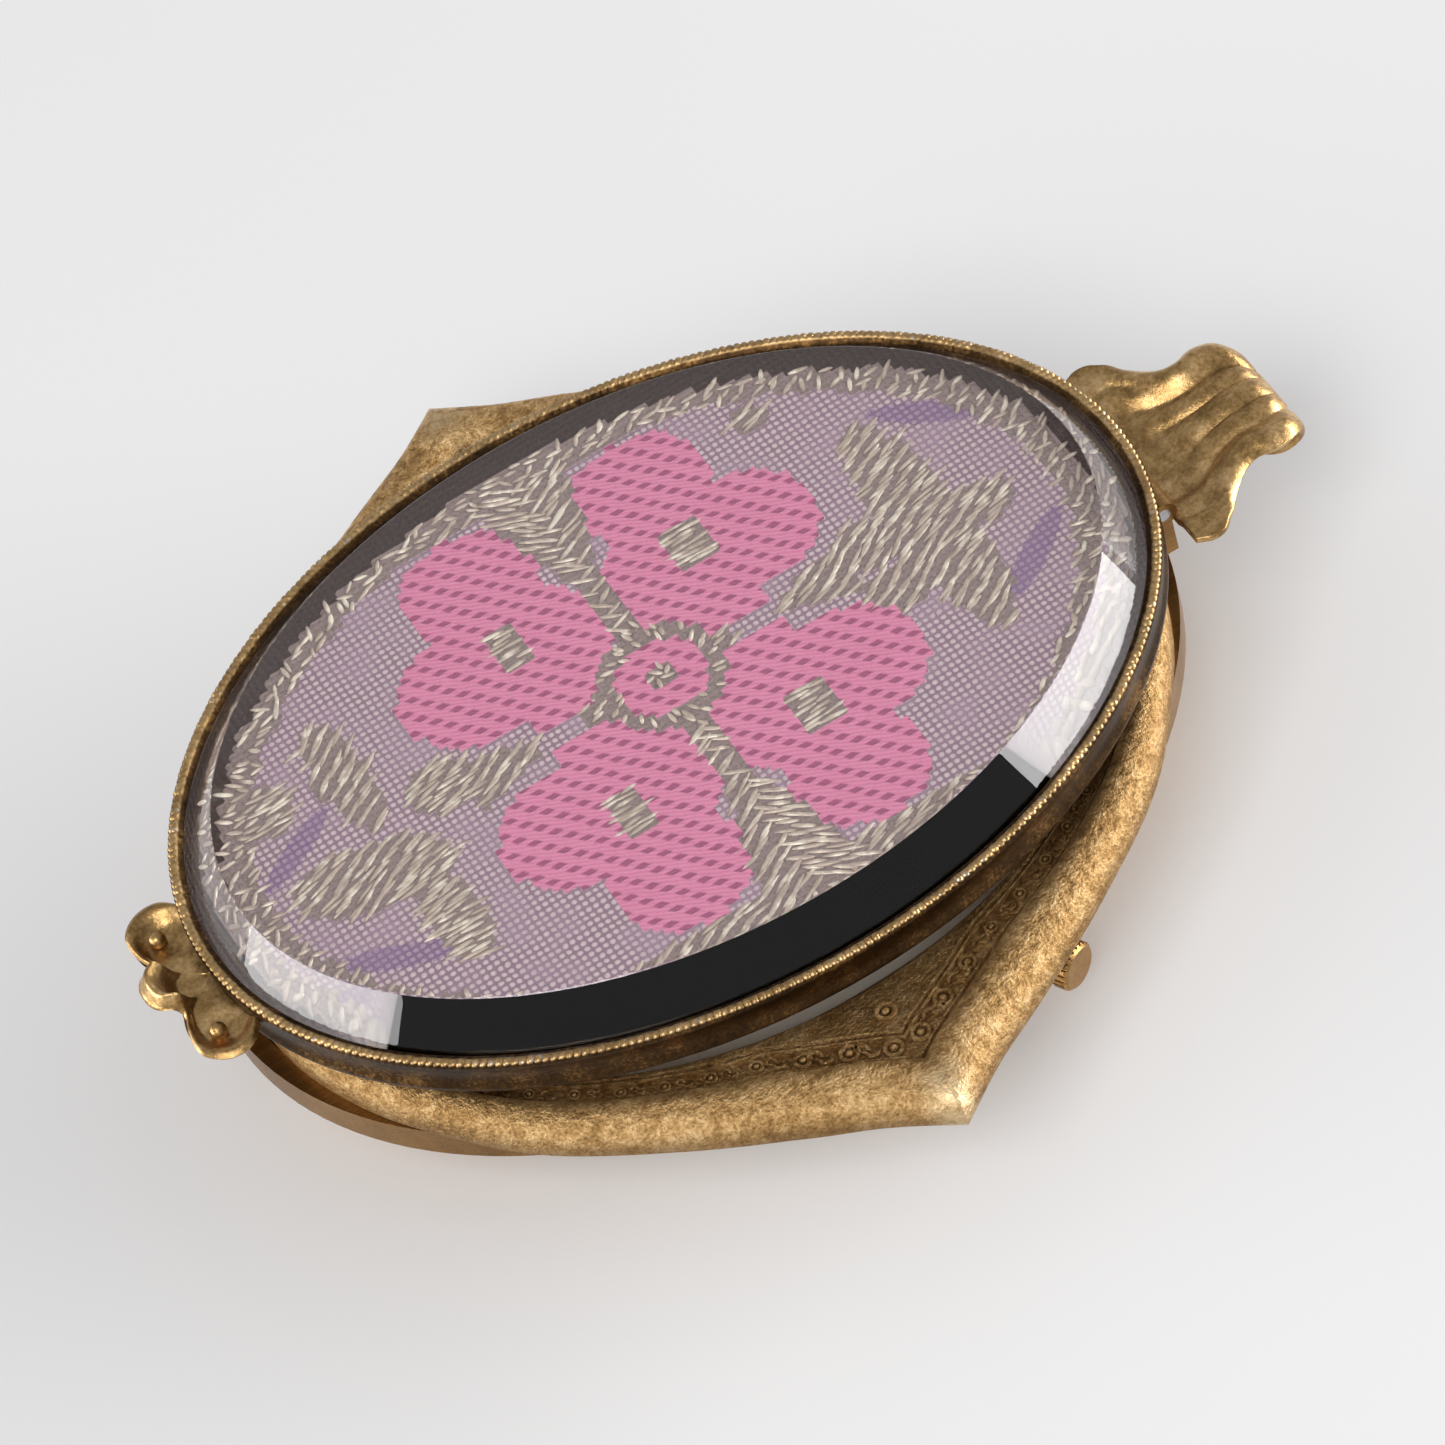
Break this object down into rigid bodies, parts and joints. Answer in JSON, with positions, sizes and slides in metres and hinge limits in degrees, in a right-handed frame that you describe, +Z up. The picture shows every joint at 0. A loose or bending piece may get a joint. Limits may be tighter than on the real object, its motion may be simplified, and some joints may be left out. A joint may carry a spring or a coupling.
{
  "type": "hunter-style fob watch",
  "caption": "Oval fob watch with a hinged bevelled-glass cover over brocade, a pointed ogee frame, a crown and a leaf-shaped bail to hang it from.",
  "frame": {"origin": "centre of the case back's flat resting face", "axes": "+Z up through the dial to the cover, +X to 12 o'clock and the leaf bail, watch lying on its back"},
  "size_m": [0.0506, 0.043, 0.0134],
  "materials": {
    "gilt_brass": "aged gilt, sand-textured",
    "steel": "polished steel",
    "blued_steel": "heat-blued",
    "movement_brass": "fine frosted gilding",
    "clear_glass": "polished, bevelled",
    "brocade": "woven silk with metal thread",
    "card": "matte",
    "backing_brass": "aged, plain",
    "enamel": "fired white enamel",
    "ruby": "polished synthetic ruby"
  },
  "bodies": {
    "case": {"case_back": "gilt_brass", "case_band": "gilt_brass", "ogee_frame": "gilt_brass", "hinge_lugs": "gilt_brass", "hinge_pin": "steel", "leaf_bail": "gilt_brass", "cover_catch": "gilt_brass", "crystal": "clear_glass", "crystal_ring": "movement_brass", "dial": "enamel", "case_tube": "gilt_brass", "movement_ring": "movement_brass", "main_plate": "movement_brass", "barrel_bridge": "movement_brass", "train_bridge": "movement_brass", "balance_cock": "movement_brass", "pallet_cock": "movement_brass", "bridge_screws": "blued_steel", "case_screws": "blued_steel", "jewels": "ruby", "crown_wheel_screw": "steel", "click_screw": "steel", "click_spring": "steel", "mainspring": "blued_steel", "hairspring": "blued_steel"},
    "cover": {"cover_bezel": "gilt_brass", "cover_glass": "clear_glass", "brocade_panel": "brocade", "brocade_card": "card", "cover_plate": "backing_brass", "thumb_piece": "gilt_brass", "cover_knuckle": "gilt_brass"},
    "winding": {"winding_pinion": "steel"},
    "crown_stem": {"crown": "gilt_brass", "winding_stem": "steel"},
    "crown_wheel": {"crown_wheel": "steel"},
    "ratchet": {"ratchet_wheel": "steel", "barrel_arbor": "steel"},
    "click": {"click": "steel"},
    "barrel": {"barrel_drum": "movement_brass", "barrel_lid": "movement_brass"},
    "centre": {"centre_wheel": "movement_brass", "centre_pinion": "steel", "cannon_pinion": "steel", "minute_hand": "blued_steel"},
    "hour": {"hour_wheel": "movement_brass", "hour_hand": "blued_steel"},
    "minute_wheel": {"minute_wheel": "movement_brass"},
    "third": {"third_wheel": "movement_brass", "third_pinion": "steel"},
    "fourth": {"fourth_wheel": "movement_brass", "fourth_pinion": "steel"},
    "escape": {"escape_wheel": "steel", "escape_pinion": "steel"},
    "pallet": {"pallet_fork": "steel", "pallet_stones": "ruby"},
    "balance": {"balance_wheel": "movement_brass", "balance_staff": "steel"},
    "regulator": {"regulator": "steel"}
  },
  "joints": [
    {"name": "cover_hinge", "type": "hinge", "parent": "case", "child": "cover", "pos_m": [0.0202, 0, 0.00955], "axis": [0, 1, 0], "range_deg": [0, 95]},
    {"name": "crown_turn", "type": "hinge", "parent": "case", "child": "winding", "pos_m": [0.00516, -0.00971, 0.0031], "axis": [0.4695, -0.8829, 0], "continuous": true},
    {"name": "crown_pull", "type": "slide", "parent": "winding", "child": "crown_stem", "axis": [0.4695, -0.8829, 0], "range_m": [0, 0.0006]},
    {"name": "crown_wheel_turn", "type": "hinge", "parent": "case", "child": "crown_wheel", "pos_m": [0.00423, -0.00795, 0.002], "axis": [0, 0, 1], "continuous": true},
    {"name": "ratchet_turn", "type": "hinge", "parent": "case", "child": "ratchet", "pos_m": [0.00527, -0.00255, 0.002], "axis": [0, 0, 1], "continuous": true, "deforming": ["mainspring"]},
    {"name": "click_swing", "type": "hinge", "parent": "case", "child": "click", "pos_m": [0.00726, 0.00121, 0.002], "axis": [0, 0, 1], "range_deg": [0, 8]},
    {"name": "barrel_turn", "type": "hinge", "parent": "case", "child": "barrel", "pos_m": [0.00527, -0.00255, 0.0027], "axis": [0, 0, 1], "continuous": true},
    {"name": "centre_turn", "type": "hinge", "parent": "case", "child": "centre", "pos_m": [0, 0, 0.0032], "axis": [0, 0, 1], "continuous": true},
    {"name": "hour_turn", "type": "hinge", "parent": "case", "child": "hour", "pos_m": [0, 0, 0.0048], "axis": [0, 0, 1], "continuous": true},
    {"name": "minute_wheel_turn", "type": "hinge", "parent": "case", "child": "minute_wheel", "pos_m": [-0.00038, 0.00217, 0.0046], "axis": [0, 0, 1], "continuous": true},
    {"name": "third_turn", "type": "hinge", "parent": "case", "child": "third", "pos_m": [-0.00343, 0.00198, 0.0023], "axis": [0, 0, 1], "continuous": true},
    {"name": "fourth_turn", "type": "hinge", "parent": "case", "child": "fourth", "pos_m": [-0.00694, 0.0007, 0.002], "axis": [0, 0, 1], "continuous": true},
    {"name": "escape_turn", "type": "hinge", "parent": "case", "child": "escape", "pos_m": [-0.00521, -0.0023, 0.003], "axis": [0, 0, 1], "continuous": true},
    {"name": "lever_rock", "type": "hinge", "parent": "case", "child": "pallet", "pos_m": [-0.0048, -0.00461, 0.003], "axis": [0, 0, 1], "range_deg": [-5, 5]},
    {"name": "balance_swing", "type": "hinge", "parent": "case", "child": "balance", "pos_m": [-0.00428, -0.00756, 0.0021], "axis": [0, 0, 1], "range_deg": [-270, 270], "deforming": ["hairspring"]},
    {"name": "regulator_turn", "type": "hinge", "parent": "case", "child": "regulator", "pos_m": [-0.00428, -0.00756, 0.001], "axis": [0, 0, 1], "range_deg": [-25, 25]}
  ],
  "couplings": [
    {"joint": "crown_wheel_turn", "follows": "crown_turn", "ratio": 0.38095},
    {"joint": "ratchet_turn", "follows": "crown_turn", "ratio": -0.23529},
    {"joint": "third_turn", "follows": "fourth_turn", "ratio": -0.13333},
    {"joint": "centre_turn", "follows": "fourth_turn", "ratio": 0.016667},
    {"joint": "barrel_turn", "follows": "fourth_turn", "ratio": -0.0020833},
    {"joint": "minute_wheel_turn", "follows": "fourth_turn", "ratio": -0.0055556},
    {"joint": "hour_turn", "follows": "fourth_turn", "ratio": 0.0013889},
    {"joint": "escape_turn", "follows": "fourth_turn", "ratio": -10}
  ]
}
